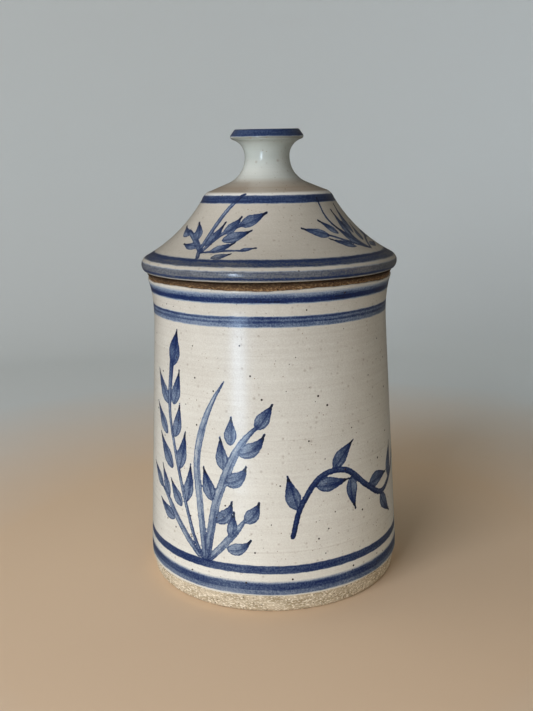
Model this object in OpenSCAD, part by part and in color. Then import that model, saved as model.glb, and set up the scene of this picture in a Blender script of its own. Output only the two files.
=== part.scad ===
// Lidded biscuit jar in thrown stoneware: a straight-sided jar that narrows
// towards its rim, and a lid with a locating flange and a luted-on knob.
// Millimetres, +Z up, the foot rests on z = 0 and the axis of the wheel is Z.
// Every outline is a list of [radius, height] points that is turned about Z.

/* [Jar] */
// Height of the jar, from the table to the rim that the lid rests on
jar_h = 188.6; // [150:0.5:260]
// Diameter of the bare foot where it meets the table
foot_d = 155; // [130:0.2:200]
// Diameter of the clay at the widest place, just above the foot
belly_d = 157.4; // [134:0.2:210]
// Height of the widest place
belly_h = 16; // [10:0.5:30]
// Bore of the mouth
mouth_d = 131.6; // [110:0.2:160]
// Width of the rim that the lid rests on
rim_w = 8.4; // [7:0.1:12]
// How far the wall turns out below the rim, from its straight taper
flare_w = 5.4; // [2:0.1:7]
// Height over which the wall turns out
flare_h = 40; // [24:0.5:60]
// Depth of the straight bore below the rim
mouth_depth = 14; // [12:0.5:30]
// Thickness of the wall
wall_t = 5.8; // [4:0.1:8]
// Thickness of the floor above the turned recess
floor_t = 6.5; // [4:0.1:10]
// Radius of the fillet between the wall and the floor inside
corner_r = 14; // [6:0.5:24]
// Width of the ring that the jar stands on
foot_ring_w = 11; // [6:0.5:20]
// Depth of the turned recess under the jar
recess_h = 2.5; // [1:0.1:5]
// Rounding of the rim and of the foot's edges
edge_r = 1.2; // [0.6:0.1:2]

/* [Lid] */
// How far the clay of the lid's rolled edge overhangs the rim
lid_overhang = 2.6; // [1:0.1:6]
// Radius of the rolled edge
roll_r = 4.2; // [3:0.1:6]
// Height of the rolled edge's centre above the seat
roll_h = 4.7; // [4:0.1:7]
// Diameter of the shoulder below the knob
shoulder_d = 78.4; // [64:0.2:110]
// Height of the shoulder above the seat
shoulder_h = 41.6; // [30:0.5:70]
// How far the flank hollows inwards from a straight cone
flank_dip = 3.3; // [0.5:0.1:5]
// Thickness of the lid's wall
lid_wall_t = 6; // [4:0.1:8]
// Thickness of the lid's crown under the knob
crown_t = 8; // [5:0.1:12]
// How far the locating flange hangs below the seat
flange_h = 10; // [6:0.5:11]
// Thickness of the locating flange
flange_t = 5; // [3:0.1:8]
// Gap between the flange and the jar's glazed mouth, all round
lid_clearance = 1.2; // [0.6:0.1:3]

/* [Knob] */
// Diameter of the knob's base where it is luted to the lid
knob_base_d = 52; // [44:0.5:58]
// Straight length of the neck between its two sweeps
neck_h = 0.6; // [0.2:0.1:20]
// Diameter of the neck at its narrowest
neck_d = 25.4; // [18:0.2:30]
// Radius of the sweep from the lid up to the neck
neck_sweep_r = 17; // [14:0.2:20]
// Radius of the sweep from the neck out to the head
head_sweep_r = 10.6; // [8:0.2:11]
// Diameter of the head at its widest
head_d = 42.6; // [38:0.2:48]
// Diameter of the head's upper edge
head_top_d = 37.4; // [30:0.2:38]
// Height of the bevel between the widest place and the upper edge
bevel_h = 3.6; // [2:0.1:5]
// Depth of the hollow pressed into the top of the head
dish_h = 1.2; // [0.4:0.1:3]

/* [Glaze] */
// Thickness of the glaze outside
glaze_t = 0.8; // [0.4:0.1:1.2]
// Thickness of the glaze inside
liner_t = 0.6; // [0.3:0.1:1]
// Height of the bare clay above the table
foot_bare_h = 9.5; // [4:0.5:14]
// Height of the bare clay below the rim
rim_bare_h = 2.4; // [2:0.1:6]

/* [Hidden] */
$fn = 96;

CLAY = "#b59a7c";
GLAZE = "#ddd9cf";
LINER = "#e6e2d8";

foot_r = foot_d / 2;
belly_r = belly_d / 2;
mouth_r = mouth_d / 2;
rim_r = mouth_r + rim_w;
taper_r = rim_r - flare_w;  // where the straight taper would reach the rim's height
flare_z = jar_h - flare_h;
floor_z = recess_h + floor_t;
bore_z = jar_h - mouth_depth;
bore_blend_h = 8;           // height over which the bore runs into the wall
flare_power = 3;            // how suddenly the wall turns out

seat_z = jar_h;             // the lid's seat lies flat on the rim
roll_c = [rim_r + lid_overhang - roll_r, seat_z + roll_h];
roll_low_a = -65;           // where the roll starts under the edge
roll_high_a = 59;           // where it runs into the flank
seat_r = rim_r - edge_r;    // outer edge of the flat seat
flange_r = mouth_r - liner_t - lid_clearance;
flange_in_r = flange_r - flange_t;
flange_z = seat_z - flange_h;
shoulder = [shoulder_d / 2, seat_z + shoulder_h];
shoulder_round = 5.2;       // run of the shoulder's rounding, along the crown
crown_slope = 0.36;         // rise of the crown towards the knob

knob_base_r = knob_base_d / 2;
crown_edge = [shoulder[0] - shoulder_round, shoulder[1] + 0.9 * shoulder_round];
knob_z = crown_edge[1] + crown_slope * (crown_edge[0] - knob_base_r);
ceiling_z = knob_z - crown_t;
neck_r = neck_d / 2;
neck_lip_h = 0.6;           // height of the knob's edge where it is luted
neck_sweep_x = neck_r + neck_sweep_r;
neck_sweep_a = acos((knob_base_r - neck_sweep_x) / neck_sweep_r);
neck_z = knob_z + neck_lip_h + neck_sweep_r * sin(neck_sweep_a);
head_r = head_d / 2;
head_lip = 0.8;             // how far the head overhangs its sweep
head_lip_h = 0.8;           // height of that lip
head_sweep_x = neck_r + head_sweep_r;
head_sweep_z = neck_z + neck_h;
head_sweep_a = acos((head_r - head_lip - head_sweep_x) / head_sweep_r);
head_z = head_sweep_z + head_sweep_r * sin(head_sweep_a) + head_lip_h;

// Points on an arc about c, from angle a to angle b
function arc(c, r, a, b, n) =
    [for (i = [0:n]) c + r * [cos(a + (b - a) * i / n), sin(a + (b - a) * i / n)]];

// Points on the arc from p to q whose middle stands sag to the left of the chord
function bowed(p, q, sag, n) =
    let (l = norm(q - p),
         u = (q - p) / l,
         left = [-u[1], u[0]],
         r = (l * l / 4 + sag * sag) / (2 * sag),
         c = (p + q) / 2 + left * (sag - r),
         half = asin(l / 2 / r))
    [for (i = [0:n]) let (a = half * (2 * i / n - 1)) c + r * (left * cos(a) + u * sin(a))];

function reversed(p) = [for (i = [len(p) - 1:-1:0]) p[i]];

function heading(p, i) =
    let (d = p[min(i + 1, len(p) - 1)] - p[max(i - 1, 0)]) d / norm(d);

// The outline moved t to the right of its own direction, and never past the axis
function moved_out(p, t) =
    [for (i = [0:len(p) - 1])
        let (d = heading(p, i))
        [max(0, p[i][0] + t * d[1]), p[i][1] - t * d[0]]];

// A coat of thickness t on the right of an outline
function coat(p, t) = concat(p, reversed(moved_out(p, t)));

// Radius of the jar's clay outside, at height z: a bellied foot, then a
// straight taper that turns out again towards the rim
function wall_r(z) =
    z < belly_h ? belly_r - (belly_r - foot_r) * pow(1 - z / belly_h, 2)
    : belly_r + (taper_r - belly_r) * (z - belly_h) / (jar_h - belly_h)
      + (rim_r - taper_r) * pow(max(0, z - flare_z) / flare_h, flare_power);

function wall_points(z0, z1, n) =
    [for (i = [0:n]) let (z = z0 + (z1 - z0) * i / n) [wall_r(z), z]];

// The jar's outside in three stretches: bare foot, glazed wall, bare rim
foot_line = concat([[wall_r(edge_r) - edge_r, 0]], wall_points(edge_r, foot_bare_h, 4));
glazed_line = concat(
    wall_points(foot_bare_h, belly_h, 4),
    [[wall_r(flare_z), flare_z]],
    [for (p = wall_points(flare_z, jar_h - rim_bare_h, 12)) if (p[1] > flare_z) p]);
rim_line = concat(
    [[wall_r(jar_h - edge_r), jar_h - edge_r]],
    arc([rim_r - edge_r, jar_h - edge_r], edge_r, 30, 90, 3));

// The jar's inside, from the rim down to the middle of the floor
inner_wall_z = floor_z + corner_r;
inner_line = concat(
    [[mouth_r, jar_h - rim_bare_h], [mouth_r, bore_z]],
    [[wall_r(bore_z - bore_blend_h) - wall_t, bore_z - bore_blend_h]],
    arc([wall_r(inner_wall_z) - wall_t - corner_r, inner_wall_z], corner_r, 0, -90, 8),
    [[0, floor_z]]);

// The lid's outside, from under its rolled edge up to the knob
lid_line = concat(
    arc(roll_c, roll_r, roll_low_a, roll_high_a, 12),
    [for (p = bowed(roll_c + roll_r * [cos(roll_high_a), sin(roll_high_a)], shoulder,
                    flank_dip, 10)) if (p[0] < roll_c[0] + roll_r * cos(roll_high_a) - 1) p],
    [for (p = bowed(shoulder, crown_edge, -0.9, 5)) if (p[0] < shoulder[0] - 0.1) p],
    [[knob_base_r, knob_z]]);

// The lid's inside, from the foot of the flange up to the middle of the ceiling
flank_inside = [for (p = moved_out(bowed(
        roll_c + roll_r * [cos(roll_high_a), sin(roll_high_a)], shoulder, flank_dip, 10),
        -lid_wall_t)) if (p[0] < flange_in_r + 2 && p[1] < ceiling_z - 2) p];
flank_top = flank_inside[len(flank_inside) - 1];
ceiling_edge = [flank_top[0] - 2 * (ceiling_z - flank_top[1]), ceiling_z];
hollow_line = concat(
    [[flange_in_r, flange_z + edge_r], [flange_in_r, seat_z + roll_h]],
    flank_inside,
    [for (p = bowed(flank_top, ceiling_edge, -1, 4)) if (p[1] > flank_top[1]) p],
    [[0, ceiling_z]]);

// The knob's outside, from the luted edge up over the head to its middle
knob_line = concat(
    arc([neck_sweep_x, neck_z], neck_sweep_r, 360 - neck_sweep_a, 180, 12),
    arc([head_sweep_x, head_sweep_z], head_sweep_r, 180, head_sweep_a, 9),
    [[head_r, head_z], [head_top_d / 2, head_z + bevel_h]],
    [for (i = [1:5]) [head_top_d / 2 * (1 - i / 5),
                      head_z + bevel_h - dish_h * sin(90 * i / 5)]]);

// Thrown stoneware: bare at the foot, underneath and round the rim
module jar_body() {
    color(CLAY) rotate_extrude() polygon(concat(
        foot_line,
        [for (p = glazed_line) if (p[1] > foot_bare_h) p],
        rim_line,
        reversed(arc([mouth_r + edge_r, jar_h - edge_r], edge_r, 180, 90, 3)),
        inner_line,
        [[0, recess_h],
         [foot_r - foot_ring_w - recess_h, recess_h],
         [foot_r - foot_ring_w, 0]]));
}

// White glaze over the outside, from above the foot to below the rim
module jar_outer_glaze() {
    color(GLAZE) rotate_extrude() polygon(coat(glazed_line, glaze_t));
}

// The same glaze poured inside as a liner
module jar_liner_glaze() {
    color(LINER) rotate_extrude() polygon(coat(inner_line, liner_t));
}

// Thrown lid with its rolled edge, flat bare seat and locating flange
module lid_body() {
    color(CLAY) rotate_extrude() polygon(concat(
        [[flange_in_r, flange_z + edge_r],
         [flange_in_r + edge_r, flange_z],
         [flange_r - edge_r, flange_z],
         [flange_r, flange_z + edge_r],
         [flange_r, seat_z],
         [seat_r, seat_z]],
        lid_line,
        [[0, knob_z]],
        reversed([for (p = hollow_line) if (p[1] > flange_z + edge_r) p])));
}

// Knob thrown apart from the lid and luted on to its crown
module lid_knob() {
    color(CLAY) rotate_extrude() polygon(concat(
        [[0, knob_z], [knob_base_r, knob_z]],
        knob_line));
}

// One coat over lid and knob together, so the luted joint is sealed under it
module lid_outer_glaze() {
    color(GLAZE) rotate_extrude() polygon(coat(concat(lid_line, knob_line), glaze_t));
}

// Glaze inside the lid, above the bare flange
module lid_liner_glaze() {
    color(LINER) rotate_extrude() polygon(coat(hollow_line, -liner_t));
}

jar_body();
jar_outer_glaze();
jar_liner_glaze();
lid_body();
lid_knob();
lid_outer_glaze();
lid_liner_glaze();
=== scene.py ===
"""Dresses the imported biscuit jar: thrown stoneware, white glaze and cobalt brushwork.

Sizes are in millimetres until a mesh is made; Blender holds metres. Angles round the
jar are counted from the side that faces the camera, positive towards its right.
"""

from __future__ import annotations

import logging
import math
from dataclasses import dataclass
from enum import Enum

import bpy
import numpy as np
from mathutils import Matrix, Vector

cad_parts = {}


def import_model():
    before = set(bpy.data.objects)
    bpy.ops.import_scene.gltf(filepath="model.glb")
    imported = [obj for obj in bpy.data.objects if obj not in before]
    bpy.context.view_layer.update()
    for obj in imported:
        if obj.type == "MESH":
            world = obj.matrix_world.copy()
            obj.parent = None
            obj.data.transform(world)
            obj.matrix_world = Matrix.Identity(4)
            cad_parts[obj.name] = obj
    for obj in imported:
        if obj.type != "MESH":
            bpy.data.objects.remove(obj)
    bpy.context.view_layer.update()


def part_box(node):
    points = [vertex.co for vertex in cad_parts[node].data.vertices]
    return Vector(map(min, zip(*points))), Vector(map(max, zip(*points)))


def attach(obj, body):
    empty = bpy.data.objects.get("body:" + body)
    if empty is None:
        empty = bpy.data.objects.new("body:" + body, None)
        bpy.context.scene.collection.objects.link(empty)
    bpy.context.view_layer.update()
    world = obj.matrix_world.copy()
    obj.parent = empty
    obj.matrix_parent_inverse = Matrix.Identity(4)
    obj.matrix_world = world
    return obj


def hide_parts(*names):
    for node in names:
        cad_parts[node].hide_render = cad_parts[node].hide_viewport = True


log = logging.getLogger("biscuit_jar")

MM = 0.001
FAR = 99.0  # millimetres: further from any brush stroke than matters

Colour = tuple[float, float, float, float]
Point = tuple[float, float]
Piece = bpy.types.Object
Finish = bpy.types.Material
Tree = bpy.types.NodeTree
Socket = bpy.types.NodeSocket


class Body(Enum):
    """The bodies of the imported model."""

    JAR = "jar"
    LID = "lid"


class Slot(Enum):
    """The record's material slots."""

    STONEWARE = "bare_stoneware"
    WHITE_GLAZE = "white_glaze"
    LINER_GLAZE = "liner_glaze"


class Side(Enum):
    """The side of a stem that a leaf grows on."""

    LEFT = -1
    RIGHT = 1


# ---------------------------------------------------------------- outlines


SHARP = math.radians(20)  # a corner that bends less isn't worn round


def arc(centre: Point, radius: float, start: float, end: float, steps: int) -> np.ndarray:
    """Points on an arc.

    Args:
        centre: the arc's centre as radius and height.
        radius: its radius.
        start: the angle of the first point in degrees.
        end: the angle of the last point in degrees.
        steps: the number of stretches.

    Returns:
        Rows of radius and height.
    """
    a = np.radians(np.linspace(start, end, steps + 1))
    return np.array(centre) + radius * np.column_stack([np.cos(a), np.sin(a)])


def bowed(first: Point, last: Point, sag: float, steps: int) -> np.ndarray:
    """Points on the arc between two points whose middle stands left of the chord.

    Args:
        first: the first point.
        last: the last point.
        sag: the distance of the arc's middle from the chord.
        steps: the number of stretches.

    Returns:
        Rows of radius and height.
    """
    p, q = np.array(first), np.array(last)
    length = np.linalg.norm(q - p)
    along = (q - p) / length
    left = np.array([-along[1], along[0]])
    radius = (length**2 / 4 + sag**2) / (2 * sag)
    half = math.asin(length / 2 / radius)
    a = np.linspace(-half, half, steps + 1)[:, None]
    return (p + q) / 2 + left * (sag - radius) + radius * (left * np.cos(a) + along * np.sin(a))


def moved_right(line: np.ndarray, distance: float | np.ndarray) -> np.ndarray:
    """The line moved to the right of its own direction, and never past the axis.

    Args:
        line: rows of radius and height.
        distance: how far, for the whole line or for each point.

    Returns:
        The moved line.
    """
    ahead = np.vstack([line[1:], line[-1:]])
    behind = np.vstack([line[:1], line[:-1]])
    course = ahead - behind
    course /= np.linalg.norm(course, axis=1)[:, None]
    across = np.column_stack([course[:, 1], -course[:, 0]])
    moved = line + across * np.reshape(distance, (-1, 1))
    moved[:, 0] = np.maximum(moved[:, 0], 0)
    return moved


def divided(line: np.ndarray, step: float) -> np.ndarray:
    """The line with points added, so that no stretch is longer than step.

    Args:
        line: rows of two coordinates.
        step: the longest stretch.

    Returns:
        The finer line.
    """
    parts = [line[:1]]
    for p, q in zip(line[:-1], line[1:]):
        count = max(1, math.ceil(np.linalg.norm(q - p) / step - 1e-6))
        parts.append(p + (q - p) * np.arange(1, count + 1)[:, None] / count)
    return np.vstack(parts)


def eased(line: np.ndarray, reach: float, steps: int = 4) -> np.ndarray:
    """The line with its sharp corners worn round.

    Args:
        line: rows of radius and height.
        reach: how far from a corner the rounding starts.
        steps: stretches in each rounding.

    Returns:
        The softer line.
    """
    parts = [line[:1]]
    t = np.linspace(0, 1, steps + 1)[:, None]
    for before, corner, after in zip(line[:-2], line[1:-1], line[2:]):
        back, ahead = before - corner, after - corner
        back_length, ahead_length = np.linalg.norm(back), np.linalg.norm(ahead)
        bend = math.acos(np.clip(-(back @ ahead) / back_length / ahead_length, -1, 1))
        if bend < SHARP:
            parts.append(corner[None])
            continue
        start = corner + back / back_length * min(reach, back_length * 0.45)
        end = corner + ahead / ahead_length * min(reach, ahead_length * 0.45)
        parts.append((1 - t) ** 2 * start + 2 * t * (1 - t) * corner + t**2 * end)
    parts.append(line[-1:])
    return np.vstack(parts)


def through(points: np.ndarray, steps: int) -> np.ndarray:
    """A smooth curve through points.

    Args:
        points: rows of two coordinates.
        steps: stretches between one point and the next.

    Returns:
        The curve's points.
    """
    ends = np.vstack([2 * points[0] - points[1], points, 2 * points[-1] - points[-2]])
    t = np.arange(steps)[:, None] / steps
    parts = []
    for a, b, c, d in zip(ends[:-3], ends[1:-2], ends[2:-1], ends[3:]):
        cubic = (3 * b - a - 3 * c + d) * t**3
        square = (2 * a - 5 * b + 4 * c - d) * t**2
        parts.append(0.5 * (2 * b + (c - a) * t + square + cubic))
    return np.vstack([*parts, points[-1:]])


def heading(step: np.ndarray) -> float:
    """A step's direction in degrees from upright, positive to the right."""
    return math.degrees(math.atan2(step[0], step[1]))


# ---------------------------------------------------------------- turned meshes


def linked(name: str, content: bpy.types.ID) -> Piece:
    """A new object of a mesh, light or camera, in the scene.

    Args:
        name: its name.
        content: the mesh, light or camera.

    Returns:
        The object.
    """
    made = bpy.data.objects.new(name, content)
    bpy.context.scene.collection.objects.link(made)
    return made


def mesh_object(name: str, points: np.ndarray, faces: list[list[int]]) -> Piece:
    """A linked object with a smooth mesh.

    Args:
        name: the name of object and mesh.
        points: rows of three coordinates in millimetres.
        faces: for each face, the rows of its corners.

    Returns:
        The object, in metres.
    """
    mesh = bpy.data.meshes.new(name)
    mesh.from_pydata((points * MM).tolist(), [], faces)
    mesh.polygons.foreach_set("use_smooth", np.ones(len(faces), bool))
    mesh.update()
    return linked(name, mesh)


@dataclass(frozen=True)
class Throwing:
    """What the potter's hands leave on a thrown wall: out of round, ringed and wavy."""

    out_of_round: float = 0.22
    ring_depth: float = 0.03
    ring_spacing: float = 5.6
    seed: int = 11

    def offset(self, angle: np.ndarray, height: np.ndarray) -> np.ndarray:
        """How far the wall stands off its true circle.

        Args:
            angle: angles round the jar in radians.
            height: heights in millimetres.

        Returns:
            Offsets in millimetres.
        """
        phase = np.random.default_rng(self.seed).uniform(0, 2 * math.pi, 6)
        oval = np.cos(2 * angle + phase[0] + height / 140)
        oval += 0.5 * np.cos(3 * angle + phase[1] - height / 90)
        climb = 2 * math.pi * height / self.ring_spacing
        rings = np.sin(climb - angle + phase[2]) * (0.6 + 0.4 * np.sin(height / 17 + phase[3]))
        rings += 0.6 * np.sin(climb * 0.41 + angle + phase[4])
        rings += 0.35 * np.sin(climb * 2.3 - 2 * angle + phase[5])
        return self.out_of_round * oval + self.ring_depth * rings


LID_HANDS = Throwing(out_of_round=0.12, ring_depth=0.02, ring_spacing=4.4, seed=23)


@dataclass
class Surface:
    """A turned surface as a grid: rings in rows, angles in columns."""

    radius: np.ndarray
    height: np.ndarray
    angle: np.ndarray

    @classmethod
    def turned(cls, line: np.ndarray, columns: int) -> Surface:
        """The surface that a line sweeps round the axis.

        Args:
            line: rows of radius and height.
            columns: the number of angles.

        Returns:
            The surface, perfectly round.
        """
        angle = np.linspace(-math.pi, math.pi, columns, endpoint=False)
        ones = np.ones((len(line), columns))
        return cls(line[:, :1] * ones, line[:, 1:] * ones, angle * ones)

    def marks(self) -> dict[str, np.ndarray]:
        """Each point's place on the wheel, before any irregularity, as attributes."""
        return {"wheel_radius": self.radius.copy(), "wheel_height": self.height.copy()}

    def points(self) -> np.ndarray:
        """The grid's points, row after row, as rows of three coordinates."""
        across, deep = self.radius * np.sin(self.angle), -self.radius * np.cos(self.angle)
        return np.stack([across, deep, self.height], axis=2).reshape(-1, 3)

    def tilt(self, above: float, rise: float, reach: float = 12.0) -> None:
        """Leans everything above a height towards the camera.

        Args:
            above: where the lean starts.
            rise: how far a point lifts for each millimetre that it stands behind the axis.
            reach: how much further up the lean is full.
        """
        behind = -self.radius * np.cos(self.angle)
        self.height = self.height + rise * behind * np.clip((self.height - above) / reach, 0, 1)

    def turn_from(self, start: float) -> np.ndarray:
        """Each point's angle from a start in degrees, as radians within half a turn of it."""
        return (self.angle - math.radians(start) + math.pi) % (2 * math.pi) - math.pi

    def throw(self, hands: Throwing, axis_reach: float = 14.0) -> None:
        """Gives it the irregularity of a thrown wall, fading out towards the axis.

        Args:
            hands: what the hands leave on it.
            axis_reach: inside this radius it fades out.
        """
        fade = np.clip(self.radius / axis_reach, 0, 1)
        self.radius = self.radius + hands.offset(self.angle, self.height) * fade

    def make(
        self, name: str, ring: bool = False, marks: dict[str, np.ndarray] | None = None
    ) -> Piece:
        """Makes the mesh object.

        Args:
            name: the piece's name.
            ring: True if the last row joins the first, and False if both end on the axis.
            marks: values for each grid point, kept as attributes of the mesh.

        Returns:
            The linked object, in metres, with its faces turned outwards.
        """
        rows, columns = self.radius.shape
        grid = self.points()
        ids = np.arange(rows * columns).reshape(rows, columns)
        if not ring:
            ids[0], ids[-1] = ids[0, 0], ids[-1, 0]
        low = ids if ring else ids[:-1]
        high = np.roll(ids, -1, 0) if ring else ids[1:]
        quads = np.stack([low, np.roll(low, -1, 1), np.roll(high, -1, 1), high], axis=2)
        quads = quads.reshape(-1, 4)
        a, b, c, d = (grid[quads[:, k]] for k in range(4))
        if np.sum(a * np.cross(b, c)) + np.sum(a * np.cross(c, d)) < 0:  # turned inside out
            quads = quads[:, ::-1]
        used, quads = np.unique(quads, return_inverse=True)
        quads = quads.reshape(-1, 4)
        at_pole = (quads[:, 0] == quads[:, 1]) | (quads[:, 2] == quads[:, 3])
        faces = quads[~at_pole].tolist()
        faces += [list(dict.fromkeys(face)) for face in quads[at_pole].tolist()]
        made = mesh_object(name, grid[used], faces)
        for label, values in (marks or {}).items():
            mark = made.data.attributes.new(label, "FLOAT", "POINT")
            mark.data.foreach_set("value", values.reshape(-1)[used].astype(np.float32))
        return made


# ---------------------------------------------------------------- brushwork


@dataclass
class Canvas:
    """A flat pattern laid on a surface, and the paint that each of its points holds."""

    across: np.ndarray
    up: np.ndarray
    edge: np.ndarray
    load: np.ndarray
    run: np.ndarray
    beside: np.ndarray

    @classmethod
    def blank(cls, across: np.ndarray, up: np.ndarray) -> Canvas:
        """An unpainted canvas over flat coordinates in millimetres."""
        empty = [np.full(across.shape, FAR), *(np.zeros(across.shape) for _ in range(3))]
        return cls(across, up, *empty)

    def moved(self, across: np.ndarray, up: np.ndarray) -> Canvas:
        """The same paint under another flat pattern."""
        return Canvas(across, up, self.edge, self.load, self.run, self.beside)

    def marks(self) -> dict[str, np.ndarray]:
        """The paint as named attributes for a mesh.

        Returns:
            The values of all points, by the name that the glaze reads.
        """
        return {
            "brush_edge": self.edge,
            "brush_load": self.load,
            "brush_run": self.run,
            "brush_beside": self.beside,
        }


@dataclass(frozen=True)
class Stroke:
    """One touch of a loaded brush: its centre line, half widths and pigment."""

    line: np.ndarray
    half: np.ndarray
    load: np.ndarray
    margin: float = 2.0  # how far round it the distance from its edge is kept
    crossed: float = 0.12  # how much darker the stain is where strokes cross

    def paint(self, canvas: Canvas) -> None:
        """Lays the stroke on a canvas; where strokes cross, the stain is darker.

        Args:
            canvas: what is painted on.
        """
        pad = self.half.max() + self.margin
        (left, low), (right, top) = self.line.min(0) - pad, self.line.max(0) + pad
        near = np.nonzero(
            (canvas.across > left) & (canvas.across < right) & (canvas.up > low) & (canvas.up < top)
        )
        if not len(near[0]):
            return
        spot = np.column_stack([canvas.across[near], canvas.up[near]])[:, None]
        start, step = self.line[:-1], np.diff(self.line, axis=0)
        length = np.linalg.norm(step, axis=1)
        t = np.clip(np.sum((spot - start) * step, axis=2) / length**2, 0, 1)
        away = spot - start - t[..., None] * step
        distance = np.linalg.norm(away, axis=2)
        edge = distance - self.half[:-1] - t * np.diff(self.half)
        best = np.argmin(edge, axis=1)
        row = np.arange(len(best))
        t, edge, distance = t[row, best], edge[row, best], distance[row, best]
        turn = step[best, 0] * away[row, best, 1] - step[best, 1] * away[row, best, 0]
        load = self.load[best] + t * np.diff(self.load)[best]
        run = np.concatenate([[0], np.cumsum(length)])[best] + t * length[best]
        crossing = (edge < 0) & (canvas.edge[near] < 0)
        nearer = edge < canvas.edge[near]
        kept = np.where(nearer, load, canvas.load[near])
        both = np.maximum(load, canvas.load[near]) + self.crossed
        canvas.load[near] = np.where(crossing, both, kept)
        canvas.run[near] = np.where(nearer, run, canvas.run[near])
        canvas.beside[near] = np.where(nearer, np.sign(turn) * distance, canvas.beside[near])
        canvas.edge[near] = np.minimum(edge, canvas.edge[near])


@dataclass(frozen=True)
class Leaf:
    """A leaf laid down in one press: round at the stem, drawn out to a dark point."""

    base: Point
    lean: float  # degrees from upright, positive to the right
    length: float
    width: float
    hook: float  # degrees that the point turns away from the base
    load: float
    belly: float = 0.36  # where along it the leaf is widest
    steps: int = 14

    @classmethod
    def between(
        cls, base: Point, tip: Point, width: float, hook: float = 0.0, load: float = 0.5
    ) -> Leaf:
        """The leaf from one point to another.

        Args:
            base: where the brush is pressed down.
            tip: where it is lifted.
            width: the leaf's width.
            hook: degrees that the point turns away from the base.
            load: how much pigment it starts with.

        Returns:
            The leaf.
        """
        step = np.array(tip) - np.array(base)
        bend = math.radians(hook)
        length = float(np.linalg.norm(step)) * (bend / math.sin(bend) if bend else 1.0)
        return cls(base, heading(step), length, width, hook, load)

    def stroke(self) -> Stroke:
        """The brush stroke that makes the leaf.

        Returns:
            The stroke, from the foot to the point.
        """
        t = np.linspace(0, 1, self.steps + 1)
        aim = np.radians(self.lean + self.hook * (t - 0.5) * 2)
        step = self.length / self.steps
        line = np.array(self.base) + np.vstack(
            [[0, 0], np.cumsum(np.column_stack([np.sin(aim), np.cos(aim)])[1:] * step, 0)]
        )
        rise = np.sin(np.clip(t / self.belly, 0, 1) * math.pi / 2) ** 0.75
        fall = np.clip((1 - t) / (1 - self.belly), 0, 1)
        half = self.width / 2 * np.where(t < self.belly, rise, fall**1.12 * (1.2 - 0.2 * fall))
        tuft = 0.42 + 0.16 * np.clip((t - 0.8) / 0.15, 0, 1)  # no point is thinner than this
        half = np.maximum(half * 0.96, tuft)
        # The stain gathers towards the point, and most where the brush is lifted.
        load = self.load + 0.36 * np.clip((t - 0.35) / 0.5, 0, 1)
        load += 0.95 * np.clip((t - 0.78) / 0.12, 0, 1)
        return Stroke(line, half, load)


def leaves(*placed: tuple) -> tuple[Leaf, ...]:
    """Leaves, each from what Leaf.between takes."""
    return tuple(Leaf.between(*where) for where in placed)


@dataclass(frozen=True)
class Row:
    """The leaves down one side of a stem, at shares of its length."""

    stations: tuple[float, ...] = ()
    lean: float = 44.0  # degrees out from the stem
    length: float = 20.0
    width: float = 8.6
    stand_off: float = 0.7  # millimetres: clear distance between the stem and a leaf's foot
    hook: float = 8.0  # degrees that a leaf's point turns in towards the stem
    load: float = 0.60


@dataclass(frozen=True)
class Stem:
    """A stem in one pull of the brush, with its leaves."""

    points: tuple[Point, ...]
    width: float
    leaves: tuple[Leaf, ...] = ()  # each in its own place
    left: Row = Row()
    right: Row = Row()
    load: float = 0.42
    taper: float = 0.35  # the width at the end as a share of the width at the middle

    def strokes(self, rng: np.random.Generator) -> list[Stroke]:
        """The stem's strokes, the stem first.

        Args:
            rng: gives each leaf in a row its small differences.

        Returns:
            The strokes in the order that they are laid.
        """
        line = through(np.array(self.points), steps=10)
        share = np.linspace(0, 1, len(line))
        # Pressed down over the first fifth, it thins in the last part and ends in a dark touch.
        thin = 1 - (1 - self.taper) * np.clip((share - 0.55) / 0.45, 0, 1) ** 1.3
        half = self.width / 2 * thin * (0.82 + 0.18 * np.clip(share / 0.2, 0, 1))
        load = self.load + 0.18 * np.clip(1 - share / 0.18, 0, 1)
        load += 0.3 * np.clip((share - 0.86) / 0.14, 0, 1)
        made = [Stroke(line, half, load), *(leaf.stroke() for leaf in self.leaves)]
        for side, row in ((Side.LEFT, self.left), (Side.RIGHT, self.right)):
            for station in row.stations:
                place = station * (len(line) - 1)
                k = min(int(place), len(line) - 2)
                step = line[k + 1] - line[k]
                aside = np.array([step[1], -step[0]]) / np.linalg.norm(step) * side.value
                base = line[k] + step * (place - k) + aside * (self.width * 0.35 + row.stand_off)
                wobble = rng.uniform(-1, 1, 4)
                leaf = Leaf(
                    base=tuple(base),
                    lean=side.value * row.lean + 5 * wobble[0] + heading(step),
                    length=row.length * (1 + 0.08 * wobble[1]),
                    width=row.width * (1 + 0.10 * wobble[2]),
                    hook=-side.value * (row.hook + 5 * wobble[3]),
                    load=row.load,
                )
                made.append(leaf.stroke())
        return made


@dataclass(frozen=True)
class Spray:
    """A sheaf of stems that grows from one root."""

    root_angle: float
    root_height: float
    stems: tuple[Stem, ...]
    mirrored: bool = False
    seed: int = 3  # of its small irregularities

    def paint(self, canvas: Canvas) -> None:
        """Paints the spray on a canvas whose origin is its root.

        Args:
            canvas: the surface's paint, under the flat pattern of this spray.
        """
        flip = -1 if self.mirrored else 1
        rng = np.random.default_rng(self.seed)
        for stem in self.stems:
            for stroke in stem.strokes(rng):
                Stroke(stroke.line * [flip, 1], stroke.half, stroke.load).paint(canvas)


# ---------------------------------------------------------------- materials

RGBA = {"out": 2, "data_type": "RGBA"}  # the settings of a node that blends two colours


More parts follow.
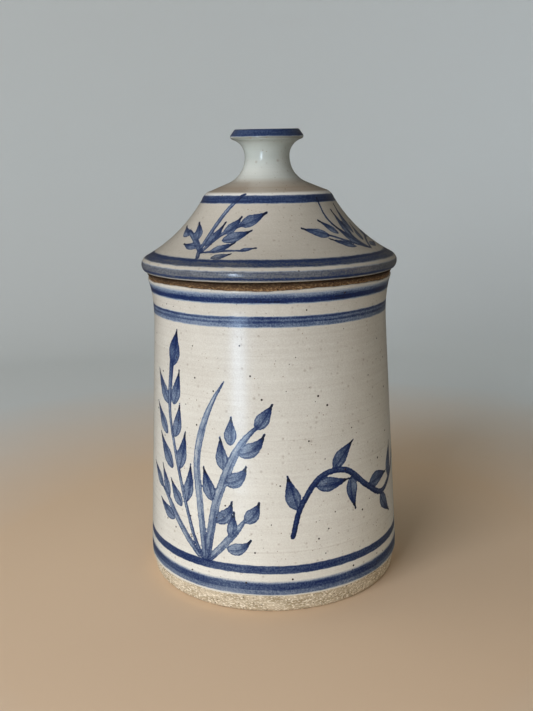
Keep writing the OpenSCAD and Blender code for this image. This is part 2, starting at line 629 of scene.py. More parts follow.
def linear(code: str) -> Colour:
    """An sRGB hex colour as linear red, green, blue and alpha.

    Args:
        code: the colour as # and six digits.

    Returns:
        Four values between 0 and 1.
    """
    shares = [int(code[k : k + 2], 16) / 255 for k in (1, 3, 5)]
    red, green, blue = (s / 12.92 if s <= 0.04045 else ((s + 0.055) / 1.055) ** 2.4 for s in shares)
    return (red, green, blue, 1.0)


def add(
    tree: Tree,
    kind: str,
    inputs: dict[int | str, object] | tuple[object, ...] = (),
    out: int | str = 0,
    **settings: object,
) -> Socket | None:
    """Adds a node with its settings and links.

    Args:
        tree: the material's node tree.
        kind: the node's type without its ShaderNode prefix, and after a colon its operation.
        inputs: values or the outputs that feed them, by the input's name or in order.
        out: the output wanted.
        **settings: the node's own properties.

    Returns:
        That output, or None for a node that has no outputs.
    """
    kind, _, operation = kind.partition(":")
    node = tree.nodes.new("ShaderNode" + kind)
    if operation:
        node.operation = operation
    for key, value in settings.items():
        setattr(node, key, value)
    for key, value in inputs.items() if isinstance(inputs, dict) else enumerate(inputs):
        if isinstance(value, Socket):
            tree.links.new(value, node.inputs[key])
        else:
            node.inputs[key].default_value = value
    return node.outputs[out] if node.outputs else None


def fresh(name: str) -> tuple[Finish, Tree, Socket]:
    """Starts a material.

    Args:
        name: the material's name.

    Returns:
        The material, its empty node tree, and the surface's coordinates in millimetres.
    """
    made = bpy.data.materials.new(name)
    made.use_nodes = True
    tree = made.node_tree
    tree.nodes.clear()
    place = add(tree, "TexCoord", out="Object")
    return made, tree, add(tree, "VectorMath:SCALE", {0: place, "Scale": 1 / MM})


def grain(
    tree: Tree,
    place: Socket,
    size: float | tuple[float, float],
    detail: float = 2.0,
    reach: tuple[float, ...] = (),
) -> Socket:
    """Noise about 0.5 whose patches have a real size.

    Args:
        tree: the material's node tree.
        place: coordinates in millimetres.
        size: the patches' size in millimetres, or their size round the wheel and upright.
        detail: finer layers on top.
        reach: two values of the noise, and what they become if that isn't 0 and 1.

    Returns:
        The noise, stretched if a reach is given.
    """
    wide, high = size if isinstance(size, tuple) else (size, size)
    scaled = add(tree, "VectorMath:MULTIPLY", (place, (1 / wide, 1 / wide, 1 / high)))
    noise = add(
        tree, "TexNoise", {"Vector": scaled, "Scale": 1.0, "Detail": detail, "Roughness": 0.55}
    )
    return add(tree, "MapRange", (noise, *reach)) if reach else noise


@dataclass(frozen=True)
class Band:
    """A stripe that the brush left while the wheel turned under it."""

    low: float
    high: float
    soft_low: float = 0.4  # half the width over which its lower edge fades
    soft_high: float = 0.4
    load: float = 0.8  # how much stain it holds
    inner_radius: float = 0.0  # it lies outside this radius


@dataclass(frozen=True)
class Zone:
    """A change in the glaze's colour above a height: a tone of its own, or a painted highlight,
    sheen or shade.
    """

    height: float
    reach: float  # millimetres: how gradual the change is
    share: float  # how much of the colour below it replaces
    shade: str


@dataclass(frozen=True)
class Specks:
    """Specks of iron in a glaze, one in each cell of a spacing; lengths in millimetres."""

    spacing: float
    bare: float  # the share of cells without one
    biggest: float  # the radius of the largest
    soft: float  # the width of its edge
    shade: str


FRECKLES = Specks(3.1, 0.35, 1.15, 1.9, "#8d7c6a")  # blurred, deep in the glaze
PINPRICKS = Specks(2.2, 0.40, 0.42, 0.20, "#8c765b")
IRON = Specks(5.2, 0.15, 0.78, 0.18, "#2f231b")  # burnt through, dark
SPARSE_IRON = Specks(5.2, 0.62, 0.62, 0.22, "#3d2f27")


@dataclass(frozen=True)
class CobaltGlaze:
    """White stoneware glaze fired over cobalt brushwork.

    An opaque tin-white glaze on an iron-bearing body: milky, faintly mottled, warm
    where it runs thin, with iron specks that have burnt through, and a satin gloss.
    """

    name: str
    bands: tuple[Band, ...] = ()
    brushed: bool = False
    smoked_below: float = 0.0  # millimetres: where the stain has greyed at the roll
    zones: tuple[Zone, ...] = ()  # from the lowest up
    iron: Specks = IRON
    haze: float = 0.14  # the roughness of the clear skin: how far a highlight spreads
    white: str = "#eeefe6"
    cream: str = "#cac6bb"
    wash: str = "#8997ab"
    cobalt: str = "#4a5b7a"
    deep: str = "#172e61"
    burnt: str = "#10162c"
    smoke: str = "#766a38"

    def material(self) -> Finish:
        """Builds the material.

        Returns:
            The glaze.
        """
        made, tree, place = fresh(self.name)
        up = add(tree, "SeparateXYZ", (place,), "Z")
        colour = self._ground(tree, place, up)
        for kind in (FRECKLES, PINPRICKS):
            _, colour = self._specks(tree, place, colour, kind)
        stain = self._stain(tree, place)
        depths = (
            (0.02, 0.34, self.wash), (0.28, 0.62, self.cobalt), (0.56, 0.95, self.deep),
            (1.10, 1.45, self.burnt),
        )
        for low, high, shade in depths:
            share = add(tree, "MapRange", (stain, low, high))
            colour = add(tree, "Mix", {0: share, 6: colour, 7: linear(shade)}, **RGBA)
        smoked = add(tree, "MapRange", (up, self.smoked_below + 3, self.smoked_below - 1, 0, 0.36))
        for low, high in ((0.1, 0.5), (0.85, 0.6)):
            washed = add(tree, "MapRange", (stain, low, high))
            smoked = add(tree, "Math:MULTIPLY", (smoked, washed))
        colour = add(tree, "Mix", {0: smoked, 6: colour, 7: linear(self.smoke)}, **RGBA)
        burnt, colour = self._specks(tree, place, colour, self.iron)
        shader = add(
            tree,
            "BsdfPrincipled",
            {
                "Base Color": colour,
                "Roughness": grain(tree, place, 9.0, reach=(0.0, 1.0, 0.30, 0.42)),
                "IOR": 1.5,
                "Specular IOR Level": 0.32,
                "Coat Weight": 0.65,
                "Coat Roughness": self.haze,
                "Normal": self._relief(tree, place, burnt),
            },
        )
        add(tree, "OutputMaterial", (shader,))
        return made

    def _ground(self, tree: Tree, place: Socket, up: Socket) -> Socket:
        """The glaze's colour without paint or specks: its own tones, and in some zones painted
        highlight, sheen and shade.

        Args:
            tree: the material's node tree.
            place: coordinates in millimetres.
            up: the height in millimetres.

        Returns:
            The colour.
        """
        # Over the throwing rings and towards the top the glaze lies thin, and the clay warms it;
        # the whiter low wall is partly thicker glaze and partly painted light bounced from the
        # floor.
        rings = grain(tree, place, (500.0, 2.2), 3.0, (0.38, 0.68))
        thinning_and_bounce_light = add(tree, "MapRange", (up, 25.0, 175.0, 0.0, 0.70))
        # A few fine lines round the wheel come and go, and clouds and a small mottle cross all.
        scored = grain(tree, place, (700.0, 1.4), reach=(0.58, 0.67, 0.0, 0.34))
        broken = grain(tree, place, (34.0, 9.0), reach=(0.46, 0.60))
        cloud = grain(tree, place, 26.0, 3.0, (0.35, 0.70))
        crawl = grain(tree, place, 0.8, 3.0, (0.35, 0.68, -0.06, 0.24))
        thin = add(tree, "Math:MULTIPLY_ADD", (rings, 0.16, thinning_and_bounce_light))
        thin = add(tree, "Math:MULTIPLY_ADD", (scored, broken, thin))
        thin = add(tree, "Math:MULTIPLY_ADD", (cloud, 0.20, thin))
        thin = add(tree, "Math:ADD", (thin, crawl), use_clamp=True)
        shade = add(tree, "Mix", {0: thin, 6: linear(self.white), 7: linear(self.cream)}, **RGBA)
        patchy = add(tree, "Math:MULTIPLY_ADD", (rings, 0.25, 0.80))
        for zone in self.zones:
            limits = (zone.height, zone.height + zone.reach, 0.0, zone.share)
            share = add(tree, "MapRange", (up, *limits))
            share = add(tree, "Math:MULTIPLY", (share, patchy))
            shade = add(tree, "Mix", {0: share, 6: shade, 7: linear(zone.shade)}, **RGBA)
        return shade

    def _stain(self, tree: Tree, place: Socket) -> Socket | float:
        """How much cobalt lies at each point: wheel-turned bands, then brushed leaves.

        Args:
            tree: the material's node tree.
            place: coordinates in millimetres.

        Returns:
            The stain: 0 for none, and 1 or more where it is deep.
        """
        if not self.bands:
            return 0.0
        sway, ragged = 1.5, 0.8  # millimetres: how far a band wanders, slowly and finely
        up, out = (
            add(tree, "Attribute", out="Fac", attribute_name=name)
            for name in ("wheel_height", "wheel_radius")
        )
        up = add(tree, "Math:MULTIPLY_ADD", (grain(tree, place, (85.0, 400.0), 1.0), sway, up))
        up = add(tree, "Math:MULTIPLY_ADD", (grain(tree, place, (5.0, 0.7)), ragged, up))
        up = add(tree, "Math:SUBTRACT", (up, (sway + ragged) / 2))
        stain: Socket | float = 0.0
        for band in self.bands:
            rise, fall = (
                add(tree, "MapRange", (up, middle - soft, middle + soft, start, end),
                    interpolation_type="SMOOTHSTEP")
                for middle, soft, start, end in (
                    (band.low, band.soft_low, 0.0, band.load), (band.high, band.soft_high, 1.0, 0.0)
                )
            )
            both = add(tree, "Math:MULTIPLY", (rise, fall))
            if band.inner_radius:
                limits = (band.inner_radius - 0.4, band.inner_radius + 0.4)
                inside = add(tree, "MapRange", (out, *limits))
                both = add(tree, "Math:MULTIPLY", (both, inside))
            stain = add(tree, "Math:MAXIMUM", (both, stain))
        # Bristle lines round the wheel, a mottle where the stain boiled, and uneven pressure.
        streak = grain(tree, place, (16.0, 0.7), 3.0, (0.3, 0.7, 0.80, 1.12))
        curdle = grain(tree, place, 0.9, reach=(0.3, 0.7, 0.74, 1.20))
        refill = grain(tree, place, 38.0, reach=(0.3, 0.7, 0.84, 1.10))
        for patch in (streak, curdle, refill):
            stain = add(tree, "Math:MULTIPLY", (stain, patch))
        return self._strokes(tree, place, stain, curdle) if self.brushed else stain

    def _strokes(self, tree: Tree, place: Socket, bands: Socket, curdle: Socket) -> Socket:
        """The leaves and stems over the bands, streaked along each stroke.

        Args:
            tree: the material's node tree.
            place: coordinates in millimetres.
            bands: the stain that the wheel-turned bands leave.
            curdle: the fine mottle that all the stain has.

        Returns:
            The stain of both.
        """
        edge, load, run, beside = (
            add(tree, "Attribute", out="Fac", attribute_name="brush_" + name)
            for name in ("edge", "load", "run", "beside")
        )
        # The edge frays by up to half a millimetre.
        fray = add(tree, "Math:SUBTRACT", (grain(tree, place, 1.6), 0.5))
        edge = add(tree, "Math:MULTIPLY_ADD", (fray, 0.9, edge))
        inside = add(tree, "MapRange", (edge, 0.16, -0.16))
        # The bristles draw lines 9 mm long and 0.8 mm apart along the stroke.
        bristle = add(tree, "CombineXYZ", (run, beside))
        bristle = add(tree, "VectorMath:MULTIPLY", (bristle, (1 / 9.0, 1 / 0.8, 1)))
        streak = add(tree, "TexNoise", {"Vector": bristle, "Scale": 1.0, "Detail": 2.0})
        streak = add(tree, "MapRange", (streak, 0.3, 0.7, -0.10, 0.16))
        # The stain pools inside the edge, in a vein beside the middle and in small puddles.
        pool = add(tree, "MapRange", (edge, -0.85, -0.15, 0.0, 0.30))
        vein = add(tree, "Math:ADD", (beside, 0.9))
        vein = add(tree, "Math:ABSOLUTE", (vein,))
        vein = add(tree, "MapRange", (vein, 1.0, 0.2, 0.0, 0.22))
        puddle = grain(tree, place, 5.0, reach=(0.3, 0.7, -0.08, 0.10))
        laid: Socket = load
        for extra in (streak, pool, vein, puddle):
            laid = add(tree, "Math:ADD", (laid, extra))
        for share in (curdle, inside):
            laid = add(tree, "Math:MULTIPLY", (laid, share))
        under = add(tree, "Math:MINIMUM", (laid, bands))
        over = add(tree, "Math:MAXIMUM", (laid, bands))
        return add(tree, "Math:MULTIPLY_ADD", (under, 0.3, over))

    def _specks(
        self, tree: Tree, place: Socket, colour: Socket, kind: Specks
    ) -> tuple[Socket, Socket]:
        """Specks of one kind.

        Args:
            tree: the material's node tree.
            place: coordinates in millimetres.
            colour: the colour under them.
            kind: what they are like.

        Returns:
            Where they lie, and the colour with them on it.
        """
        cells = add(tree, "TexVoronoi", {"Vector": place, "Scale": 1 / kind.spacing}).node
        pick = add(tree, "SeparateColor", (cells.outputs["Color"],))
        size = add(tree, "MapRange", (pick, kind.bare, 1.0, 0.0, kind.biggest))
        apart = add(tree, "Math:MULTIPLY", (cells.outputs["Distance"], kind.spacing))
        inside = add(tree, "Math:SUBTRACT", (size, apart))
        spot = add(tree, "MapRange", (inside, 0.0, kind.soft))
        return spot, add(tree, "Mix", {0: spot, 6: colour, 7: linear(kind.shade)}, **RGBA)

    def _relief(self, tree: Tree, place: Socket, burnt: Socket) -> Socket:
        """Throwing rings under the glaze, its faint orange peel, and pits at the specks.

        Args:
            tree: the material's node tree.
            place: coordinates in millimetres.
            burnt: where the iron specks lie.

        Returns:
            The bumped normal.
        """
        height: Socket | float = 0.0
        layers = (
            (grain(tree, place, (120.0, 1.6)), 0.045), (grain(tree, place, 1.2), 0.12),
            (grain(tree, place, (36.0, 8.0)), 0.25), (burnt, -0.05),
        )
        for layer, depth in layers:
            height = add(tree, "Math:MULTIPLY_ADD", (layer, depth, height))
        return add(tree, "Bump", {"Height": height, "Distance": MM, "Strength": 1.0})


@dataclass(frozen=True)
class BareStoneware:
    """Unglazed grogged stoneware, turned and fired.

    Dry and gritty: pale grog and dark iron grains in a buff body, dragged into short
    marks where the turning tool passed. Toasted, it goes foxy brown beside the glaze.
    """

    name: str
    clay: str = "#d7ccb3"
    shadow: str = "#9b8c6d"
    grog: str = "#f8f1de"
    iron: str = "#55452f"
    iron_spacing: float = 1.5  # millimetres
    scorch_and_shade_at: float = 1000.0  # millimetres: a height darkened all along: a scorched line at the foot's glaze edge, and painted shade under the lid's seat at the rim
    scorch_and_shade_reach: float = 1.4  # how far below that height it begins
    scorch_and_shade_beyond: float = 0.0  # millimetres: and only outside this radius

    def material(self) -> Finish:
        """Builds the material.

        Returns:
            The clay.
        """
        made, tree, place = fresh(self.name)
        cloud = grain(tree, place, (12.0, 3.0), 4.0, (0.3, 0.7))
        drag = grain(tree, place, (1.5, 0.6), 3.0)  # the turning tool's short marks
        pale = add(tree, "MapRange", (drag, 0.50, 0.62))
        cells = add(tree, "TexVoronoi", {"Vector": place, "Scale": 1 / self.iron_spacing}).node
        pick = add(tree, "SeparateColor", (cells.outputs["Color"],))
        dark = add(tree, "MapRange", (pick, 0.84, 0.9))
        near = add(tree, "MapRange", (cells.outputs["Distance"], 0.34, 0.18))
        dark = add(tree, "Math:MULTIPLY", (dark, near))
        up = add(tree, "SeparateXYZ", (place,), "Z")
        # Below that height the clay darkens: a scorched line at the foot, and at the rim painted
        # shade of the lid's seat.
        start = self.scorch_and_shade_at - self.scorch_and_shade_reach
        scorch_and_seat_shade = add(tree, "MapRange", (up, start, self.scorch_and_shade_at - 0.3))
        flat = add(tree, "VectorMath:MULTIPLY", (place, (1, 1, 0)))
        out = add(tree, "VectorMath:LENGTH", (flat,), "Value")
        outer = add(tree, "MapRange", (out, self.scorch_and_shade_beyond, self.scorch_and_shade_beyond + 0.8, 0, 0.85))
        scorch_and_seat_shade = add(tree, "Math:MULTIPLY", (scorch_and_seat_shade, outer))
        colour: Socket | Colour = linear(self.shadow)
        layers = ((cloud, self.clay), (pale, self.grog), (dark, self.iron), (scorch_and_seat_shade, self.iron))
        for share, shade in layers:
            colour = add(tree, "Mix", {0: share, 6: colour, 7: linear(shade)}, **RGBA)
        grit = add(tree, "Math:MULTIPLY", (grain(tree, place, 0.9, 3.0), 0.30))
        height = add(tree, "Math:MULTIPLY_ADD", (drag, 0.35, grit))
        shader = add(
            tree,
            "BsdfPrincipled",
            {
                "Base Color": colour,
                "Roughness": 0.88,
                "IOR": 1.5,
                "Specular IOR Level": 0.3,
                "Normal": add(tree, "Bump", {"Height": height, "Distance": MM, "Strength": 1.0}),
            },
        )
        add(tree, "OutputMaterial", (shader,))
        return made


@dataclass(frozen=True)
class PaintedBoard:
    """The studio floor and the wall it turns into: boards in matt pale emulsion."""

    name: str = "matt_pale_emulsion"
    floor: str = "#e3cbae"
    wall: str = "#d8dfe0"
    turn: tuple[float, float] = (210.0, 480.0)  # millimetres from the jar: floor becomes wall

    def material(self) -> Finish:
        """Builds the material.

        Returns:
            The paint.
        """
        made, tree, place = fresh(self.name)
        away = add(tree, "VectorMath:LENGTH", (place,), "Value")
        cloud = add(tree, "Math:MULTIPLY_ADD", (grain(tree, place, 60.0), 40.0, away))
        share = add(tree, "MapRange", (cloud, *self.turn))
        colour = add(tree, "Mix", {0: share, 6: linear(self.floor), 7: linear(self.wall)}, **RGBA)
        add(tree, "OutputMaterial", (add(tree, "BsdfDiffuse", (colour,)),))
        return made


# ---------------------------------------------------------------- the painting

# Points are millimetres to the right of a spray's root and above it. A leaf is its foot, its
# tip and its width, and then its hook in degrees and its load where they need saying.
WHEAT = (
    Stem(
        ((-2, 0), (-9, 14), (-20, 46), (-26, 65), (-29.5, 78), (-30.5, 90), (-28.5, 110)), 2.6,
        leaves(
            ((-32, 86), (-46, 104), 8.8, 6), ((-26.5, 86.5), (-20.5, 107), 8.6, -8),
            ((-32.5, 67.5), (-47, 84), 8.4, 6), ((-24.5, 67.5), (-20, 87.5), 8.2, -8),
            ((-26.5, 48), (-42, 66.5), 9.4, 6), ((-21, 49), (-15, 72), 8.8, -8),
            ((-18, 27), (-28.5, 41), 7.8, 6), ((-14, 31), (-10.5, 54), 7.8, -6),
            ((-27, 110), (-23, 130), 11.6, 4, 0.72),
        ),
        load=0.46, taper=1.75,
    ),
    Stem(
        ((0, 0), (-4, 34), (-6, 57), (-2, 76.5), (4.5, 92), (12.6, 105)), 4.6,
        load=0.31, taper=0.14,
    ),
    Stem(
        ((1, 0), (5.5, 28), (9.5, 42), (17, 60.5), (24, 72), (31.5, 80)), 5.2,
        leaves(
            ((4, 35.5), (-1.2, 54.2), 8.4), ((11, 54.5), (9.5, 73), 7.8),
            ((15.6, 69), (16.4, 85), 7.8), ((6.8, 23.6), (17, 35.8), 8.0, -34),
            ((13, 47.2), (25.4, 56.6), 9.2, -38), ((20.5, 64.5), (36, 75), 9.0, -34),
            ((31, 79), (40.5, 92.3), 8.4, -4, 0.56),
        ),
        load=0.37,
    ),
    Stem(
        ((2.7, 0), (11.6, 10), (18.7, 18.5), (25, 27)), 4.2,
        leaves(
            ((15.6, 15), (17.8, 30), 6.4, -4), ((14, 7.8), (27.4, 13.6), 7.6, -34, 0.42),
            ((24.5, 25), (32.4, 36.6), 8.2, -18),
        ),
        load=0.31,
    ),
    Stem(
        ((-4.5, 1), (-15, 11.5), (-24, 21), (-31, 28.5), (-38, 33)), 4.2,
        leaves(
            ((-30, 29), (-38.7, 47), 7.4), ((-24.5, 17.5), (-41.4, 25.4), 7.8, 14),
            ((-38, 33), (-53, 45), 7.4),
        ),
        load=0.38,
    ),
)

LAUREL = (
    Stem(
        ((0, 0), (5, 17), (17, 33), (34, 34), (50, 21), (66, 12), (83, 19), (99, 33), (115, 30),
         (130, 14)), 3.4,
        leaves(((130, 14), (142, 1), 7.6, 4, 0.6)),
        Row((0.10, 0.28, 0.46, 0.64, 0.82)), Row((0.19, 0.37, 0.55, 0.73, 0.90)),
        load=0.80, taper=0.5,
    ),
)

SPRIG = (
    Stem(
        ((0.4, 1.5), (-2.2, 10), (-1.9, 24.5), (0.6, 34), (4.6, 40.5), (9.8, 46)), 2.8,
        leaves(((0, 13), (4.5, 30.5), 6.4)),
        load=0.44, taper=0.6,
    ),
    Stem(
        ((-0.4, 7.5), (2.6, 17), (7.6, 24.5), (15, 30.5)), 2.6,
        leaves(
            ((14.2, 30), (25.3, 41.3), 7.4, -8), ((7, 23.5), (12.9, 34.8), 6.8, -12),
            ((8.4, 18.6), (22, 28.4), 8.2, -14),
        ),
        load=0.46, taper=0.8,
    ),
    Stem(
        ((-0.4, 7), (7, 8.5), (14, 10.5), (23.5, 12.7)), 1.9,
        leaves(
            ((5.5, 8.4), (16.8, 17.8), 6.6, -10), ((9, 3), (18.8, 8.7), 5.6, -12),
            ((22, 12.2), (29.8, 17.4), 3.6, 4),
        ),
        load=0.50, taper=0.7,
    ),
    Stem(
        ((-1.4, 8), (-5.6, 13), (-13, 20), (-22, 27)), 3.4,
        leaves(
            ((-20, 22.5), (-30, 33), 5.6, 10), ((-9.5, 17.5), (-16.5, 32), 6.8, -6),
            ((-5.6, 12), (-18.6, 15.5), 6.4, 12),
        ),
        load=0.48, taper=0.7,
    ),
)

SPRIG_OPEN = (
    Stem(
        ((-1, 6), (-7.7, 10.6), (-14.8, 16.3), (-23, 23.6)), 1.9,
        leaves(
            ((-22.5, 23), (-34.5, 34.6), 6.8, 8), ((-14.5, 22), (-21, 33.8), 5.2, -4),
            ((-11.5, 9.5), (-24.8, 20.8), 5.6, 8),
        ),
        load=0.50, taper=0.8,
    ),
    Stem(
        ((-2, 7), (-7, 15), (-12, 26.5), (-13.3, 34), (-11, 43)), 1.5,
        leaves(((-5.6, 10.5), (-12, 27.5), 6.6, 4)),
        load=0.56, taper=0.7,
    ),
    Stem(
        ((0, 6), (-4, 16), (-2.3, 28)), 2.2,
        leaves(((-5, 17), (-4.4, 36), 6.4, -6), ((0.5, 20), (3.6, 39), 5.6)),
        load=0.50, taper=0.8,
    ),
    Stem(
        ((1, 5), (7, 12), (14, 17)), 1.9,
        leaves(
            ((3, 13), (8, 27), 5.4, -6), ((13, 16.5), (25, 25), 6.4, -8),
            ((6, 8), (20, 11), 5.2, -8),
        ),
        load=0.50, taper=0.8,
    ),
)

WALL_SPRAYS = (
    Spray(-30, 30, WHEAT, seed=3),
    Spray(8, 46, LAUREL, seed=4),
    Spray(148, 30, WHEAT, mirrored=True, seed=9),
)
LID_SPRAYS = tuple(
    Spray(angle, 201.0, stems, seed=seed)
    for angle, stems, seed in (
        (-34.5, SPRIG, 5), (60.5, SPRIG_OPEN, 6), (149, SPRIG, 7), (237, SPRIG_OPEN, 8)
    )
)

JAR_BANDS = (
    Band(177.6, 182.9, 0.7, 2.1, 0.74),
    Band(177.9, 181.2, 0.8, 1.3, 1.20),
    Band(164.6, 170.6, 0.5, 0.4, 0.62),
    Band(166.6, 168.5, 0.5, 1.0, 0.90),
    Band(168.8, 170.4, 0.6, 0.4, 0.94),
    Band(24.4, 29.2, 0.35, 0.35, 0.90),
    Band(11.8, 19.2, 0.5, 1.6, 0.60),
    Band(14.0, 19.0, 1.2, 1.2, 0.88),
)
LID_BANDS = (
    Band(190.2, 195.3, 0.5, 0.7, 0.66),
    Band(190.4, 192.2, 0.5, 0.8, 1.06),
    Band(197.3, 200.7, 0.5, 0.45, 0.84),
    Band(199.2, 200.6, 0.6, 0.4, 1.12),
    Band(228.9, 233.0, 0.4, 0.6, 0.92),
    Band(229.2, 230.6, 0.5, 0.7, 1.10),
    Band(266.8, 290.0, 0.25, 0.4, 0.9, inner_radius=16.8),
)

# The crown's and knob's zones: thin and pooled glaze, and painted highlights, sheen and shade.
CROWN_ZONES = (
    Zone(232.4, 0.6, 0.95, "#f0f0e9"),  # a bead of thicker glaze above the stripe, lightened by a painted highlight on the rounded edge
    Zone(234.3, 1.0, 0.95, "#aa9a86"),  # thin and brown over the edge
    Zone(237.4, 1.8, 0.90, "#beb8ab"),
    Zone(239.8, 3.2, 0.95, "#d2d8d2"),  # pooled and cool at the neck's foot, lightened by a painted sheen
    # the neck above: its cool grey lightened by a painted sheen
    Zone(247.0, 8.0, 0.85, "#aeb6b0"),
    Zone(264.5, 0.5, 0.85, "#83857c"),  # painted shade in the crease under the knob's edge
    # a painted glint along the lower lip of the knob's edge
    Zone(266.0, 0.3, 0.95, "#fbfbf6"),
)

WALL_GLAZE = CobaltGlaze(
    "white_glaze_over_cobalt_wall", JAR_BANDS, brushed=True, haze=0.21, wash="#95a4b6",
    cobalt="#546684", deep="#142a5b",
)
# The lid's white and cream are darker than the wall's: partly a greyer glaze, partly painted shade,
# as less light falls on the lid from above.
LID_GLAZE = CobaltGlaze(
    "white_glaze_over_cobalt_lid", LID_BANDS, brushed=True, smoked_below=202.0,
    zones=CROWN_ZONES, iron=SPARSE_IRON, white="#dbd7cd", cream="#c1bcaf", deep="#21335a",
)


# ---------------------------------------------------------------- the pottery


def place_piece(piece: Piece, body: Body, node: str, finishes: list[Finish]) -> None:
    """Gives a piece its finishes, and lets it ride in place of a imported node.

    Args:
        piece: the new mesh object.
        body: the body that it moves with.
        node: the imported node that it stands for.
        finishes: its materials in the order of their face indices.
    """
    for finish in finishes:
        piece.data.materials.append(finish)
    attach(piece, body.value)
    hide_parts(node)
    axes = list(zip(*(v.co for v in piece.data.vertices)))
    sides = [limit(axis) for limit in (min, max) for axis in axes]
    spread = max(abs(a - b) for a, b in zip((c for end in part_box(node) for c in end), sides))
    log.info(
        "%s on %s: %d faces, %.2f mm off %s's box",
        piece.name, body.value, len(piece.data.polygons), spread / MM, node,
    )


def lining(line: np.ndarray, thickness: float, columns: int) -> Surface:
    """A coat that was poured in, drawn thin at its wiped edge.

    Args:
        line: the clay's outline, from the coat's edge to the axis.
        thickness: the coat's, to the right of the line, and negative for its left.
        columns: the number of angles.

    Returns:
        The coat's surface.
    """
    cover = np.full(len(line), thickness)
    cover[:3] = thickness * np.array([0.15, 0.7, 0.95])
    return Surface.turned(np.vstack([line[::-1], moved_right(line, cover)]), columns)


